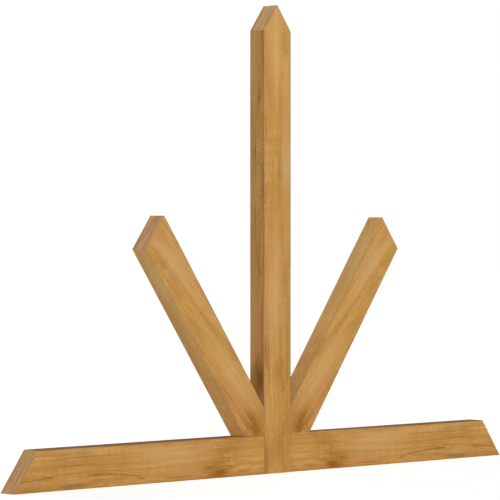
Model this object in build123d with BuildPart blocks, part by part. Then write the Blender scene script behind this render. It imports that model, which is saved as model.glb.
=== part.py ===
"""Timber gable bracket: a king post, a bottom tie in two halves and a pair of braces.

The bracket fills the point of a gable, under the overhanging roof. It is made of solid
timber of one thickness, flush front and back. The king post runs from the peak down to the
underside of the tie, the halves of the tie butt against its sides, and a brace stands in
each corner between tie and post. Every outer end is sawn off on one of the two rake lines,
so that the whole bracket fits up under the slopes of the roof.

Lengths are millimetres. X runs along the tie, Y from front to back and Z up. The origin is
the middle of the underside, where the king post ends.
"""
import os
from math import cos, radians, sin

from build123d import *

# The gable that the bracket is made for
tie_span = 1828.8  # 72 in, from tip to tip along the underside of the tie
pitch_rise = 16.0  # the slope of the roof climbs this much ...
pitch_run = 12.0  # ... over this much level run

# The timber
timber_depth = 50.8  # 2 in, front to back, the same in every member so that they lie flush
post_face = 101.6  # 4 in, seen from the front
tie_face = 101.6
brace_face = 101.6
arris_radius = 1.5  # the long edges are eased before the timber is sawn to length

# The braces
brace_angle = 53.8  # degrees above the level

# Two rake planes slope down from the peak, which stands over the middle of the king post
peak_height = tie_span / 2 * pitch_rise / pitch_run
rake_left = Plane(origin=(0, 0, peak_height), z_dir=(-pitch_rise, 0, pitch_run))
rake_right = Plane(origin=(0, 0, peak_height), z_dir=(pitch_rise, 0, pitch_run))

# The faces that the left half of the tie and the left brace stand against
post_side = Plane(origin=(-post_face / 2, 0, 0), x_dir=(0, 1, 0), z_dir=(-1, 0, 0))
tie_top = Plane(origin=(0, 0, tie_face), z_dir=(0, 0, 1))

# The left brace leans out from the corner between post and tie, with its two seats there of
# one length, and its axis is followed from that corner up to the rake
corner = Vector(-post_face / 2, 0, tie_face)
brace_rise = sin(radians(brace_angle))
brace_lean = cos(radians(brace_angle))
brace_axis = Vector(-brace_lean, 0, brace_rise)
brace_seat = brace_face / (brace_rise + brace_lean)
brace_offset = brace_seat * (brace_rise - brace_lean) / 2
brace_reach = (rake_left.origin - corner).dot(rake_left.z_dir) / brace_axis.dot(rake_left.z_dir)

# Rough stock for a brace starts and ends one face's width beyond that line
brace_stock = Plane(origin=corner - brace_axis * brace_face, x_dir=(0, 1, 0), z_dir=brace_axis)
brace_stock_length = brace_reach + 2 * brace_face


# The king post: upright, sawn to a point along both rakes
with BuildPart() as king_post:
    with BuildSketch(Plane.XY):
        Rectangle(post_face, timber_depth)
    extrude(amount=peak_height)
    fillet(king_post.edges().filter_by(Axis.Z), arris_radius)
    for rake in (rake_left, rake_right):
        split(bisect_by=rake, keep=Keep.BOTTOM)

# The left half of the tie: square where it butts against the post, its tip on the rake
with BuildPart() as tie_left:
    with BuildSketch(post_side):
        Rectangle(timber_depth, tie_face, align=(Align.CENTER, Align.MAX))
    extrude(amount=(tie_span - post_face) / 2)
    fillet(tie_left.edges().filter_by(Axis.X), arris_radius)
    split(bisect_by=rake_left, keep=Keep.BOTTOM)

# The left brace: sawn at its foot to both seats, and at its head to the rake
with BuildPart() as brace_left:
    with BuildSketch(brace_stock):
        with Locations((0, brace_offset)):
            Rectangle(timber_depth, brace_face)
    extrude(amount=brace_stock_length)
    fillet(brace_left.edges().filter_by(Axis(corner, brace_axis)), arris_radius)
    for seat in (post_side, tie_top):
        split(bisect_by=seat, keep=Keep.TOP)
    split(bisect_by=rake_left, keep=Keep.BOTTOM)

# The right half of the tie and the right brace are cut to the other hand
with BuildPart() as tie_right:
    mirror(tie_left.part, about=Plane.YZ)

with BuildPart() as brace_right:
    mirror(brace_left.part, about=Plane.YZ)


king_post.part.label = "king_post"
tie_left.part.label = "tie_left"
tie_right.part.label = "tie_right"
brace_left.part.label = "brace_left"
brace_right.part.label = "brace_right"

os.makedirs("parts", exist_ok=True)
for member in (king_post, tie_left, tie_right, brace_left, brace_right):
    export_step(member.part, f"parts/{member.part.label}.step")

print(f"peak height {peak_height:.1f}, brace seats {brace_seat:.1f}, brace reach {brace_reach:.1f}")
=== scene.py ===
"""A timber gable bracket: king post, tie in two halves and two braces, in honey-brown stain."""
from math import atan, cos, pi, radians, sin

import bmesh
import bpy
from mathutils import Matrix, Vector


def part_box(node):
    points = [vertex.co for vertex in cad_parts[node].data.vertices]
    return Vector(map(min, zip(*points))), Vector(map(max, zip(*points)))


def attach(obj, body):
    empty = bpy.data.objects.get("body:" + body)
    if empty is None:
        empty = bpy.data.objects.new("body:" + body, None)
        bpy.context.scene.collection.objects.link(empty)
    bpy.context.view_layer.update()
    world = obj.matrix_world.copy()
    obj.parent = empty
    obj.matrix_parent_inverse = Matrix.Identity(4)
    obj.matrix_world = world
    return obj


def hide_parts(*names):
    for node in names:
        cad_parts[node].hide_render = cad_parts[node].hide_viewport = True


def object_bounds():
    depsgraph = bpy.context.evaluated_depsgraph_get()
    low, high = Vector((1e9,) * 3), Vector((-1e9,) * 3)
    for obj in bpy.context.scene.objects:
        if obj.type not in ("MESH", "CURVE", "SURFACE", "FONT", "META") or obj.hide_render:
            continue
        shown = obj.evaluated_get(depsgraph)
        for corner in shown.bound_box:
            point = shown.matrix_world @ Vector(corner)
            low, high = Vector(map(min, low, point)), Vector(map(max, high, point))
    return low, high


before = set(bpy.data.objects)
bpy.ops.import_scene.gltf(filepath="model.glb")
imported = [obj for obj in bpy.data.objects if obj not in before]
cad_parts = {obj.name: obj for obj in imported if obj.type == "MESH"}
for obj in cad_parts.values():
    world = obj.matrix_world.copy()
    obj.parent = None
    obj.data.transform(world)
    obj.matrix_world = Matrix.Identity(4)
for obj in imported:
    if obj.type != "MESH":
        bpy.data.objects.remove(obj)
cad_low, cad_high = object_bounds()

# King post
# One upright timber, planed on all sides, its long edges eased. It is sawn to a point at the
# top, along both slopes of the roof, and square at the foot, level with the tie's underside.

ROOF_SLOPE = atan(16 / 12)
DEPTH = cad_high.y - cad_low.y
FRONT = cad_low.y
SPAN = cad_high.x - cad_low.x
PEAK = Vector((0, 0, cad_high.z))
ARRIS = 0.0015  # radius of the eased long edges
SAWN_EDGE = 0.0004  # the saw leaves its edges crisp
CHECK_DEPTH = 0.004
CHECK_CLEAR = 0.0003  # a crack is centred this far outside its face, so no corner lies on it

post_low, post_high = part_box("king_post")
POST_FACE = post_high.x - post_low.x

rake_out_left = Vector((-sin(ROOF_SLOPE), 0, cos(ROOF_SLOPE)))
rake_out_right = Vector((sin(ROOF_SLOPE), 0, cos(ROOF_SLOPE)))


def grain_way(runs):
    """The direction of a timber's grain, from its foot, at an angle above the level."""
    return Vector((cos(runs), 0, sin(runs)))


def rough_timber(name, foot, runs, length, face):
    """Planed and eased stock that lies from its foot along the grain, in edit mode."""
    middle = foot + grain_way(runs) * length / 2
    bpy.ops.mesh.primitive_cube_add(
        size=1, location=middle, rotation=(0, -runs, 0), scale=(length, DEPTH, face)
    )
    timber = bpy.context.object
    timber.name = timber.data.name = name
    bpy.ops.object.transform_apply(location=True, rotation=True, scale=True)
    bpy.ops.object.mode_set(mode="EDIT")
    shape = bmesh.from_edit_mesh(timber.data)
    for edge in shape.edges:
        line = (edge.verts[1].co - edge.verts[0].co).normalized()
        edge.select_set(abs(line.dot(grain_way(runs))) > 0.99)
    bpy.ops.mesh.bevel(offset=ARRIS, segments=4, affect="EDGES")
    return timber


def saw(timber, through, waste_side):
    """Saws the timber off on a plane and closes the cut."""
    bpy.ops.mesh.select_all(action="SELECT")
    bpy.ops.mesh.bisect(plane_co=through, plane_no=waste_side, use_fill=True, clear_outer=True)


def dress_sawn_edges(timber, out, through):
    """Breaks the front and back edges of one sawn face by a hair."""
    bpy.ops.mesh.select_mode(type="FACE")
    bpy.ops.mesh.select_all(action="DESELECT")
    shape = bmesh.from_edit_mesh(timber.data)
    for side in shape.faces:
        on_plane = abs((side.calc_center_median() - through).dot(out)) < 1e-5
        side.select_set(on_plane and abs(side.normal.dot(out)) > 0.999)
    bpy.ops.mesh.region_to_loop()
    shape = bmesh.from_edit_mesh(timber.data)
    for edge in shape.edges:
        if edge.verts[0].co.y * edge.verts[1].co.y < 0:
            edge.select_set(False)
    bpy.ops.mesh.bevel(offset=SAWN_EDGE, segments=1, affect="EDGES")


def open_check(timber, middle, runs, length, width, sinks):
    """A drying check: a thin crack with tapered ends, that sinks into the front or left side."""
    out = Vector((0, -1, 0)) if sinks == "front" else Vector((-1, 0, 0))
    through = CHECK_DEPTH * 2
    bpy.ops.mesh.primitive_uv_sphere_add(
        segments=20,
        ring_count=14,
        radius=0.5,
        location=middle + out * CHECK_CLEAR,
        rotation=(0, -runs, 0),
    )
    crack = bpy.context.object
    crack.scale = (length, through, width) if sinks == "front" else (length, width, through)
    bpy.ops.object.transform_apply(location=True, rotation=True, scale=True)
    cut = timber.modifiers.new("check", "BOOLEAN")
    cut.operation = "DIFFERENCE"
    cut.solver = "EXACT"
    cut.object = crack
    bpy.context.view_layer.objects.active = timber
    bpy.ops.object.modifier_apply(modifier=cut.name)
    bpy.data.objects.remove(crack)


def close_up(timber):
    """Turns all faces outwards, rounds the eased edges to the eye and leaves edit mode."""
    bpy.ops.mesh.select_mode(type="FACE")
    bpy.ops.mesh.select_all(action="SELECT")
    bpy.ops.mesh.normals_make_consistent(inside=False)
    bpy.ops.mesh.faces_shade_flat()
    shape = bmesh.from_edit_mesh(timber.data)
    for side in shape.faces:
        side.select_set(0.05 < abs(side.normal.y) < 0.995)
    bpy.ops.mesh.faces_shade_smooth()
    bpy.ops.object.mode_set(mode="OBJECT")


def finish_timber(timber, node):
    """Puts the timber in place of its plain solid."""
    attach(timber, "root")
    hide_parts(node)
    bpy.ops.object.select_all(action="DESELECT")


def paint(r, g, b):
    """A colour as it is seen, in 0 to 255, as the light that it reflects."""
    return [((value / 255 + 0.055) / 1.055) ** 2.4 for value in (r, g, b)] + [1]


class Reading:
    """A number, place or colour that differs over the timber, as a shader node gives it."""

    def __init__(self, tree, socket):
        self.tree = tree
        self.socket = socket

    def node(self, kind, settings=(), inputs=(), result=0):
        """Adds a node to the same material, and gives what it puts out."""
        node = self.tree.nodes.new(kind)
        for name, value in dict(settings).items():
            setattr(node, name, value)
        for key, value in dict(inputs).items():
            if isinstance(value, Reading):
                self.tree.links.new(value.socket, node.inputs[key])
            else:
                node.inputs[key].default_value = value
        return Reading(self.tree, node.outputs[result])

    def maths(self, operation, *values):
        return self.node("ShaderNodeMath", {"operation": operation}, enumerate(values))

    def maths_with(self, operation, other):
        return self.maths(operation, self, other)

    def __add__(self, other):
        return self.maths("ADD", self, other)

    def __sub__(self, other):
        return self.maths("SUBTRACT", self, other)

    def __mul__(self, other):
        return self.maths("MULTIPLY", self, other)

    def __truediv__(self, other):
        return self.maths("DIVIDE", self, other)

    def __pow__(self, other):
        return self.maths("POWER", self, other)

    def __rsub__(self, other):
        return self.maths("SUBTRACT", other, self)

    def __neg__(self):
        return self * -1

    def __abs__(self):
        return self.maths("ABSOLUTE", self)

    __radd__ = __add__
    __rmul__ = __mul__

    def or_more(self, other):
        return self.maths("MAXIMUM", self, other)

    def part_of_one(self):
        return self.maths("FRACT", self)

    def reach_from(self, middle, size, tilt):
        """How far each place is from the middle of an oval mark, 1 at its rim."""
        near = self.node(
            "ShaderNodeMapping",
            {"vector_type": "TEXTURE"},
            {"Vector": self, "Location": middle, "Rotation": (0, -tilt, 0), "Scale": size},
        )
        return near.node("ShaderNodeVectorMath", {"operation": "LENGTH"}, {0: near}, result=1)

    def rises(self, low, high):
        """0 below low, 1 above high, with a soft step between them."""
        return self.node(
            "ShaderNodeMapRange",
            {"interpolation_type": "SMOOTHSTEP"},
            {"Value": self, "From Min": low, "From Max": high},
        )

    def between(self, first, second):
        """The colour that lies this far, from 0 to 1, on the way from one to another."""
        colours = {0: self, 6: first, 7: second}
        return self.node("ShaderNodeMix", {"data_type": "RGBA"}, colours, result=2)

    def toward(self, colour, share):
        """This colour, mixed with another by a share from 0 to 1."""
        colours = {0: share, 6: self, 7: colour}
        return self.node("ShaderNodeMix", {"data_type": "RGBA"}, colours, result=2)

    def times(self, sizes):
        """This place, with each of its three numbers multiplied by its own."""
        return self.node("ShaderNodeVectorMath", {"operation": "MULTIPLY"}, {0: self, 1: sizes})

    def facing(self, way):
        """How far this direction agrees with another, from -1 to 1."""
        ways = {0: self, 1: way}
        return self.node("ShaderNodeVectorMath", {"operation": "DOT_PRODUCT"}, ways, result=1)

    def apart(self):
        """The three numbers of this place."""
        parts = self.node("ShaderNodeSeparateXYZ", (), {0: self})
        return [Reading(self.tree, out) for out in parts.socket.node.outputs]

    def mottle(self, stretch, detail=2.0, rough=0.5):
        """Smooth noise from about 0 to 1, at so many spots a metre along, into and across."""
        spread = self.times(stretch)
        return spread.node(
            "ShaderNodeTexNoise",
            (),
            {"Vector": spread, "Scale": 1, "Detail": detail, "Roughness": rough},
        )


DEEP_TONE = paint(183, 127, 56)
PALE_TONE = paint(236, 183, 106)
ROSY = paint(218, 153, 104)
OLIVE = paint(176, 132, 58)
GOLD = paint(210, 156, 74)
PALE = paint(223, 178, 112)
KNOT = paint(132, 82, 14)
ORANGE = paint(186, 118, 48)
REDDISH = paint(174, 108, 48)
GREY = paint(156, 120, 82)
SILVER = paint(182, 158, 104)
BLUSH = paint(222, 147, 114)
RIM = paint(148, 102, 46)
DRIFTWOOD = paint(203, 172, 122)
END_TAN = paint(230, 186, 128)
END_ROSE = paint(213, 155, 117)
END_GREY = paint(219, 186, 138)

# The figure of the board that the timbers were sawn from, in millimetres: its colour, how far
# along and across the board, half its length and width, its tilt in degrees and its strength
FIGURE = (
    (GOLD, 60, 25, 75, 42, 0, 0.45),
    (OLIVE, 135, 26, 52, 34, 0, 0.52),
    (OLIVE, 178, -30, 72, 38, 0, 0.72),
    (REDDISH, 160, -36, 40, 34, 0, 0.5),
    (KNOT, 164, -38, 28, 15, 0, 0.5),
    (KNOT, 200, -25, 34, 12, 0, 0.38),
    (OLIVE, 96, 46, 28, 12, 0, 0.6),
    (PALE, 42, -9, 34, 5, 0, 0.6),
    (OLIVE, 78, -37, 34, 6, -4, 0.7),
    (OLIVE, 128, -24, 26, 5, 3, 0.7),
    (ROSY, 112, -36, 22, 7, 0, 0.4),
    (ROSY, 98, 34, 22, 10, 0, 0.3),
    (ROSY, 290, -28, 80, 20, 0, 0.5),
    (PALE, 330, 14, 150, 40, 0, 0.55),
    (PALE, 290, -1, 110, 3, 0, 0.6),
    (PALE, 305, 19, 90, 3, 0, 0.55),
    (PALE, 410, 26, 110, 13, 0, 0.4),
    (REDDISH, 295, -41, 75, 3.5, 0, 0.65),
    (REDDISH, 355, 50, 40, 12, 0, 0.28),
    (ORANGE, 354, -51, 420, 7, 0, 0.4),
    (KNOT, 442, -35, 15, 6, 20, 0.35),
    (REDDISH, 480, -26, 62, 3, 5.5, 0.7),
    (KNOT, 584, -18, 48, 3, 2.5, 0.4),
    (KNOT, 592, -17.5, 20, 3, 2, 0.4),
    (OLIVE, 612, 14, 20, 38, 0, 0.28),
    (GOLD, 560, 12, 90, 26, 0, 0.35),
    (PALE, 610, 58, 140, 20, 0, 0.42),
    (PALE, 672, 62, 62, 24, 0, 0.45),
    (PALE, 672, 22.5, 48, 3.0, 0, 0.7),
    (PALE, 672, 3, 54, 2.6, 0, 0.6),
    (ROSY, 672, -6, 36, 2.4, 0, 0.5),
    (REDDISH, 642, 30, 20, 22, 0, 0.18),
    (DRIFTWOOD, 658, 72, 66, 32, 0, 0.42),
    (REDDISH, 220, -50, 50, 13, 0, 0.36),
    (PALE, 455, 62, 85, 14, 0, 0.35),
    (ROSY, 250, -60, 62, 20, 0, 0.4),
    (REDDISH, 178, -72, 60, 13, 0, 0.45),
    (GREY, 672, -43, 66, 7, 0, 0.75),
    (PALE, 672, -31, 52, 5, 0, 0.4),
)
FIGURE_START = 0.036  # the board's figure is a mirror image of itself about its start and end
FIGURE_LENGTH = 0.636
HEART_ACROSS = 0.19  # the log's heart lies outside the board, this far across and into it
HEART_DEEP = 0.11
RING_WIDTH = 0.0062
RIM_WIDTH = 0.005  # the stain gathers this far in from the eased edges
STAIN_SHINE = 0.03


figure = bpy.data.node_groups.new("board_figure", "ShaderNodeTree")
for given, kind in (("Wood", "Color"), ("Board", "Vector"), ("Ragged", "Float")):
    figure.interface.new_socket(given, in_out="INPUT", socket_type=f"NodeSocket{kind}")
figure.interface.new_socket("Wood", in_out="OUTPUT", socket_type="NodeSocketColor")
figure_in = figure.nodes.new("NodeGroupInput")
marked, board, ragged = (Reading(figure, out) for out in figure_in.outputs[:3])
for colour, mark_along, mark_across, length, width, tilt, strength in FIGURE:
    middle = (mark_along / 1000, 0, mark_across / 1000)
    reach = board.reach_from(middle, (length / 1000, 1, width / 1000), radians(tilt))
    marked = marked.toward(colour, (1 - (reach + ragged).rises(0.05, 1.25)) * strength)
figure_out = figure.nodes.new("NodeGroupOutput")
figure.links.new(marked.socket, figure_out.inputs[0])


def stained_timber(
    name, foot, runs, face, board_at, side=1, turned=1, slope=0, narrow_at=(0, 1),
    front=1, sides=(1, 1), painted_joint_shade=(0.1, 0.35, 0.1), silver=0.2, rosy_ends=0
):
    """Solid timber under a honey-brown stain, with growth rings, fibres along the grain, the
    board's figure, and sawn ends that show the streaks of the saw.

    A left timber has side -1 and mirrors the right one. board_at is where its foot lies on the
    board, turned is -1 where it lies the other way across, and slope is how far the grain runs
    off its length. narrow_at moves the figure on the narrow faces, along and across. front says
    how light the front and back faces are, and sides how light the upper and the under face are
    painted, as painted light and shade. damp tells where the painted shade on the foot of the
    narrow faces, by the joint, starts to fade, where it ends and how dark it is. silver greys the
    narrow faces, and rosy_ends reddens the sawn ends."""
    material = bpy.data.materials.new(name)
    material.use_nodes = True
    tree = material.node_tree
    shader = tree.nodes["Principled BSDF"]
    shader.inputs["Specular IOR Level"].default_value = STAIN_SHINE
    points = tree.nodes.new("ShaderNodeTexCoord")
    anywhere = Reading(tree, points.outputs["Object"]).times((side, 1, 1))
    looks = Reading(tree, points.outputs["Normal"]).times((side, 1, 1))

    # Places on the timber: along it from the foot, into its depth and across its face, and the
    # same on the board
    place = anywhere.node(
        "ShaderNodeMapping",
        {"vector_type": "TEXTURE"},
        {"Vector": anywhere, "Location": foot, "Rotation": (0, -runs, 0)},
    )
    along, deep, across = place.apart()
    grain = place.node(
        "ShaderNodeMapping",
        {"vector_type": "POINT"},
        {"Vector": place, "Location": board_at, "Rotation": (0, -slope, 0), "Scale": (1, 1, turned)},
    )
    board_along, board_deep, board_across = grain.apart()
    narrow = 1 - abs(looks.facing((0, 1, 0))).rises(0.5, 0.9)

    # Growth rings round the log's heart, a little uneven
    wander = grain.mottle((2.2, 9, 9), detail=1)
    ripple = grain.mottle((16, 45, 45), detail=2)
    heart_across = board_across + HEART_ACROSS + (wander - 0.5) * 0.02 + (ripple - 0.5) * 0.005
    heart_deep = board_deep + HEART_DEEP + (wander - 0.5) * 0.02
    ring = (heart_across ** 2 + heart_deep ** 2) ** 0.5 / RING_WIDTH
    year = ring.part_of_one()
    late_wood = year.rises(0.3, 0.85) * (1 - year.rises(0.9, 1.0))

    # Tone along the board, fibres, crumbs and specks of colour
    broad = grain.mottle((1.7, 26, 26), detail=3)
    patchy = grain.mottle((9, 16, 16), detail=3, rough=0.6)
    hue = grain.mottle((3, 15, 15), detail=3, rough=0.6)
    streak = grain.mottle((4, 150, 150), detail=3, rough=0.6)
    fibre = grain.mottle((9, 420, 420), detail=3, rough=0.6)
    pore = grain.mottle((35, 1500, 1500), detail=1)
    shimmer = grain.mottle((42, 9, 9), detail=2)
    crumbs = grain.mottle((26, 210, 210), detail=2, rough=0.6)
    grit = grain.mottle((130, 240, 240), detail=2, rough=0.6)
    tint = grain.mottle((45, 200, 200), detail=3, rough=0.65)
    lines = grain.mottle((2, 250, 250), detail=1)
    tone = 0.5 + (broad - 0.5) * 0.8 + (patchy - 0.5) * 0.7 + (streak - 0.5) * 0.8
    tone = tone + (lines - 0.5) * 0.9 + (shimmer - 0.5) * 0.35 + (crumbs - 0.5) * 0.8
    tone = tone + (grit - 0.5) * (1.1 + narrow * 0.7)
    specks = 0.28 + narrow * 0.25
    wood = tone.between(DEEP_TONE, PALE_TONE)
    wood = wood.toward(ROSY, hue.rises(0.5, 0.72) * 0.36)
    wood = wood.toward(OLIVE, (1 - hue.rises(0.3, 0.48)) * 0.35)
    wood = wood.toward(OLIVE, late_wood * 0.3)
    wood = wood.toward(BLUSH, tint.rises(0.5, 0.62) * specks)
    wood = wood.toward(SILVER, (1 - tint.rises(0.38, 0.5)) * specks)
    wood = wood.toward(DEEP_TONE, fibre.rises(0.5, 0.8) * 0.35)

    # The board's figure, with ragged rims to its marks
    folded = (board_along + narrow * narrow_at[0] - FIGURE_START).maths_with("PINGPONG", FIGURE_LENGTH)
    over = board_across + narrow * (deep + narrow_at[1] - board_across)
    board = folded.node("ShaderNodeCombineXYZ", (), {0: folded + FIGURE_START, 2: over})
    ragged = (streak - 0.5) * 0.7 + (ripple - 0.5) * 0.9 + (crumbs - 0.5) + (grit - 0.5) * 1.2
    wood = wood.node(
        "ShaderNodeGroup", {"node_tree": figure}, {"Wood": wood, "Board": board, "Ragged": ragged}
    )

    # The narrow faces are a little greyer
    wood = wood.toward(SILVER, narrow * (1.3 - patchy.rises(0.35, 0.6) * 0.6) * silver)

    # Pores, and stain that gathers on the eased edges
    wood = wood.toward(KNOT, pore.rises(0.6, 0.8) * 0.25)
    near_side = abs(across).rises(face / 2 - RIM_WIDTH, face / 2)
    near_front = abs(deep).rises(DEPTH / 2 - RIM_WIDTH, DEPTH / 2)
    wood = wood.toward(RIM, near_side * near_front * (0.15 + hue.rises(0.35, 0.7) * 0.4))

    # Painted light and shade: how light each face is painted, and painted shade on the foot of the
    # narrow faces, by the joint
    upper = across.rises(face / 2 - 0.001, face / 2 - 0.0003)
    lower = (-across).rises(face / 2 - 0.001, face / 2 - 0.0003)
    shade = front + upper * (sides[0] - front) + lower * (sides[1] - front)
    fades_from, fades_to, darkness = painted_joint_shade
    shade = shade * (1 - narrow * (1 - along.rises(fades_from, fades_to)) * darkness)
    wood = wood.node("ShaderNodeVectorMath", {"operation": "SCALE"}, {0: wood, "Scale": shade})

    # Sawn ends: greyer in the middle, with the rings end on and the streaks that the saw left
    sawn = abs(looks.facing(grain_way(runs))).rises(0.3, 0.45)
    saw_streak = place.mottle((5, 115, 5), detail=1)
    thin_streak = place.mottle((9, 180, 9), detail=1)
    cloudy = place.mottle((30, 60, 30), detail=2)
    dots = grain.mottle((200, 900, 900), detail=2)
    core = (1 - abs(deep + (cloudy - 0.5) * 0.03).rises(0.004, 0.016)) * 0.7
    end = core.between(END_TAN, END_GREY)
    end = end.toward(END_ROSE, saw_streak.rises(0.47, 0.58) * 0.6 + rosy_ends * 0.6)
    end = end.toward(OLIVE, deep.rises(0.012, 0.024) * 0.4)
    end = end.toward(END_ROSE, (-deep).rises(0.014, 0.024) * 0.35)
    end = end.toward(OLIVE, late_wood * 0.25)
    end = end.toward(KNOT, dots.rises(0.55, 0.8) * 0.25)
    end = end.toward(REDDISH, (1 - crumbs.rises(0.35, 0.6)) * 0.22)
    end = end.toward(REDDISH, (1 - saw_streak.rises(0.36, 0.46)) * (0.2 + rosy_ends))
    end = end.toward(END_GREY, thin_streak.rises(0.52, 0.62) * 0.45)
    end = end.toward(REDDISH, (1 - thin_streak.rises(0.38, 0.48)) * 0.24)
    wood = wood.toward(end, sawn)

    rough = 0.7 + late_wood * 0.05 + fibre * 0.12
    relief = fibre * 0.6 + late_wood * 0.25 + pore * 0.3
    bump = relief.node("ShaderNodeBump", (), {"Height": relief, "Strength": 0.5, "Distance": 0.0004})
    tree.links.new(wood.socket, shader.inputs["Base Color"])
    tree.links.new(rough.socket, shader.inputs["Roughness"])
    tree.links.new(bump.socket, shader.inputs["Normal"])
    return material


bpy.ops.object.select_all(action="DESELECT")
post_foot = Vector((0, 0, 0))
post_runs = radians(90)
king_post = rough_timber("king_post_timber", post_foot, post_runs, PEAK.z, POST_FACE)
saw(king_post, PEAK, rake_out_left)
saw(king_post, PEAK, rake_out_right)
for out in (rake_out_left, rake_out_right):
    dress_sawn_edges(king_post, out, PEAK)
close_up(king_post)
for up, left, length, width, leans in (
    (0.705, 0.0447, 0.110, 0.0011, -1.4),
    (0.880, 0.0437, 0.060, 0.0011, 1.6),
    (0.935, 0.0466, 0.080, 0.0008, 2.4),
):
    open_check(king_post, Vector((-left, FRONT, up)), post_runs + radians(leans), length, width, "front")
for up, deep, length, width in ((0.655, 0.005, 0.110, 0.0011), (0.850, 0.005, 0.070, 0.0011)):
    open_check(king_post, Vector((-POST_FACE / 2, deep, up)), post_runs, length, width, "side")
finish_timber(king_post, "king_post")
# Both side faces of the post are painted darker, as painted shade, and more painted shade lies on their
# lower part by the braces
king_post.data.materials.append(
    stained_timber(
        "king_post_stain", post_foot, post_runs, POST_FACE, (-0.132, 0, 0.026), turned=-1,
        narrow_at=(0.050, -0.024), sides=(0.78, 0.85), painted_joint_shade=(0.2, 0.33, 0.3), silver=0.06
    )
)

# Tie
# The level timber at the foot, in two halves that butt square against the post's sides. The
# outer ends are sawn on the slope of the roof.

tie_low, tie_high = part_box("tie_left")
TIE_FACE = tie_high.z - tie_low.z
TIE_LENGTH = tie_high.x - tie_low.x


def tie_half(name, node, side):
    """One half of the tie: side is -1 on the left and 1 on the right."""
    foot = Vector((POST_FACE / 2, 0, TIE_FACE / 2))
    mirrored = Vector((side, 1, 1))
    runs = radians(90 - 90 * side)
    tip = Vector((side * SPAN / 2, 0, 0))
    out = Vector((side * sin(ROOF_SLOPE), 0, cos(ROOF_SLOPE)))
    half = rough_timber(name, foot * mirrored, runs, TIE_LENGTH, TIE_FACE)
    saw(half, tip, out)
    dress_sawn_edges(half, out, tip)
    close_up(half)
    for along, across, length, width, leans in (
        (0.590, -0.0178, 0.075, 0.0010, 2),
        (0.525, -0.0215, 0.100, 0.0008, 4.5),
        (0.752, -0.0180, 0.040, 0.0010, -2),
        (0.795, -0.0205, 0.085, 0.0008, -3.5),
    ):
        place = (foot + Vector((along, FRONT, across))) * mirrored
        open_check(half, place, side * radians(leans), length, width, "front")
    finish_timber(half, node)
    # The tie's top face is painted darker and its under face a little darker, as painted shade, and its
    # narrow faces by the post get painted shade too
    half.data.materials.append(
        stained_timber(f"{name}_stain", foot, 0, TIE_FACE, (0, 0.5, 0), side=side, sides=(0.72, 0.85))
    )


tie_half("tie_left_timber", "tie_left", -1)
tie_half("tie_right_timber", "tie_right", 1)

# Braces
# A timber leans out of each corner between post and tie. Its foot is sawn to two seats, one
# on the tie and one on the post, and its head to the slope of the roof.

BRACE_LEAN = radians(53.8)
BRACE_GRAIN = radians(45)  # the fibres run a little across the brace
BRACE_FACE = POST_FACE
SPARE = 0.05  # rough length past the rake, for the saw


def brace(name, node, side, sides, darkness):
    """One brace: side is -1 on the left and 1 on the right. sides tell how light its upper and
    under faces are painted, as painted light, and darkness how dark the painted shade is on
    their foot, by the joint."""
    seat = BRACE_FACE / (sin(BRACE_LEAN) + cos(BRACE_LEAN))
    corner = Vector((POST_FACE / 2, 0, TIE_FACE))
    middle = corner + Vector((1, 0, 1)) * seat / 2
    mirrored = Vector((side, 1, 1))
    # The centre line starts abreast of the corner
    foot = middle + grain_way(BRACE_LEAN) * (corner - middle).dot(grain_way(BRACE_LEAN))
    out = Vector((sin(ROOF_SLOPE), 0, cos(ROOF_SLOPE)))
    reach = (PEAK - foot).dot(out) / grain_way(BRACE_LEAN).dot(out)
    runs = BRACE_LEAN if side > 0 else pi - BRACE_LEAN
    timber = rough_timber(name, foot * mirrored, runs, reach + SPARE, BRACE_FACE)
    saw(timber, corner * mirrored, Vector((-side, 0, 0)))
    saw(timber, corner, Vector((0, 0, -1)))
    saw(timber, PEAK, out * mirrored)
    dress_sawn_edges(timber, out * mirrored, PEAK)
    close_up(timber)
    finish_timber(timber, node)
    timber.data.materials.append(
        stained_timber(
            f"{name}_stain", foot, BRACE_LEAN, BRACE_FACE, (0.1332, 1.0, -0.0318), side=side,
            slope=BRACE_LEAN - BRACE_GRAIN, narrow_at=(0, 0.074), front=1.015, sides=sides,
            painted_joint_shade=(0.1, 0.35, darkness), silver=0.22, rosy_ends=0.3
        )
    )


# The braces' upper and under faces are painted lighter, as painted light, and darker at their foot by
# the joint, as painted shade
brace("brace_left_timber", "brace_left", -1, (1.1, 1.19), 0.05)
brace("brace_right_timber", "brace_right", 1, (1.18, 1.1), 0.14)

# Floor
# A plain pale floor under the bracket. It adds a glow that only the camera sees, so that it
# shows white there, and it keeps the bracket's shadow.

FLOOR_SIZE = 80
FLOOR_GLOW = 0.78
bpy.ops.mesh.primitive_plane_add(size=FLOOR_SIZE)
floor = bpy.context.object
floor.name = "floor"
floor_paint = bpy.data.materials.new("white_floor")
floor_paint.use_nodes = True
floor_tree = floor_paint.node_tree
floor_shader = floor_tree.nodes["Principled BSDF"]
floor_shader.inputs["Base Color"].default_value = (0.8, 0.8, 0.8, 1)
floor_shader.inputs["Roughness"].default_value = 1
floor_shader.inputs["Specular IOR Level"].default_value = 0
floor_shader.inputs["Emission Color"].default_value = (1, 1, 1, 1)


def seen_rays(tree):
    """1 where the camera looks, also by way of a shine or through glass, and 0 for the light."""
    path = tree.nodes.new("ShaderNodeLightPath")
    straight = Reading(tree, path.outputs["Is Camera Ray"])
    shone = straight.or_more(Reading(tree, path.outputs["Is Glossy Ray"]))
    return shone.or_more(Reading(tree, path.outputs["Is Transmission Ray"]))


glow = seen_rays(floor_tree) * FLOOR_GLOW
floor_tree.links.new(glow.socket, floor_shader.inputs["Emission Strength"])
floor.data.materials.append(floor_paint)

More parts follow.
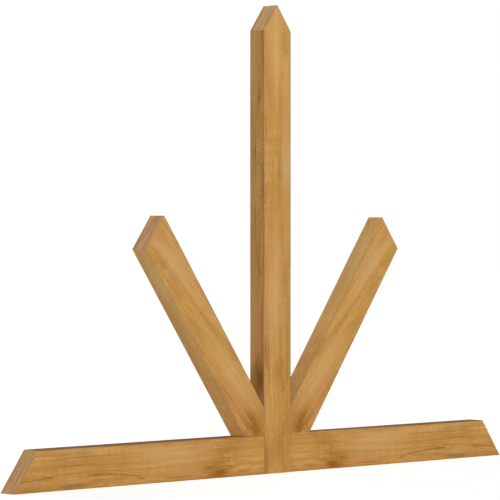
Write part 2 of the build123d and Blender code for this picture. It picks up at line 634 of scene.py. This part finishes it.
# Studio light
# Three broad soft lamps stand low: a strong one at the front left, and weaker ones behind and
# at the right. The room looks white to the camera, and gives a little light from all round.

LAMP_BREADTH = radians(30)
ROOM_LIGHT = 0.09


def soft_lamp(name, strength, side, height):
    """A broad lamp far away, at an angle to the left of the front and a height above the level."""
    lamp = bpy.data.lights.new(name, "SUN")
    lamp.energy = strength
    lamp.angle = LAMP_BREADTH
    holder = bpy.data.objects.new(name, lamp)
    bpy.context.scene.collection.objects.link(holder)
    toward = Vector((-sin(side) * cos(height), -cos(side) * cos(height), sin(height)))
    holder.rotation_euler = toward.to_track_quat("Z", "Y").to_euler()


soft_lamp("front_lamp", 4.55, radians(38), radians(1))
soft_lamp("back_lamp", 2.2, radians(180), radians(6))
soft_lamp("right_lamp", 1.6, radians(-100), radians(6))

room = bpy.data.worlds.new("white_room")
bpy.context.scene.world = room
room.use_nodes = True
room_tree = room.node_tree
room_tree.nodes["Background"].inputs["Color"].default_value = (1, 1, 1, 1)
brightness = ROOM_LIGHT + seen_rays(room_tree) * (1 - ROOM_LIGHT)
room_tree.links.new(brightness.socket, room_tree.nodes["Background"].inputs["Strength"])

# Camera
# It stands level with the middle of the bracket, far off to the left of the front, and looks
# level. Its frame is shifted down a little, as the photograph's is.

CAMERA_SWING = radians(46.12)
CAMERA_DISTANCE = 7.8056
CAMERA_ASIDE = -0.0535
PHOTO_SIDE = 500
HORIZON = 239.18  # row of the photograph
camera = bpy.data.cameras.new("camera")
camera.lens = 215.26
camera.sensor_width = 36
camera.shift_y = (HORIZON - PHOTO_SIDE / 2) / PHOTO_SIDE
stand = bpy.data.objects.new("camera", camera)
ahead = Vector((sin(CAMERA_SWING), cos(CAMERA_SWING), 0))
aside = Vector((cos(CAMERA_SWING), -sin(CAMERA_SWING), 0))
stand.location = aside * CAMERA_ASIDE - ahead * CAMERA_DISTANCE + Vector((0, 0, cad_high.z / 2))
stand.rotation_euler = (radians(90), 0, -CAMERA_SWING)
bpy.context.scene.collection.objects.link(stand)
bpy.context.scene.camera = stand
bpy.context.scene.view_settings.view_transform = "Standard"
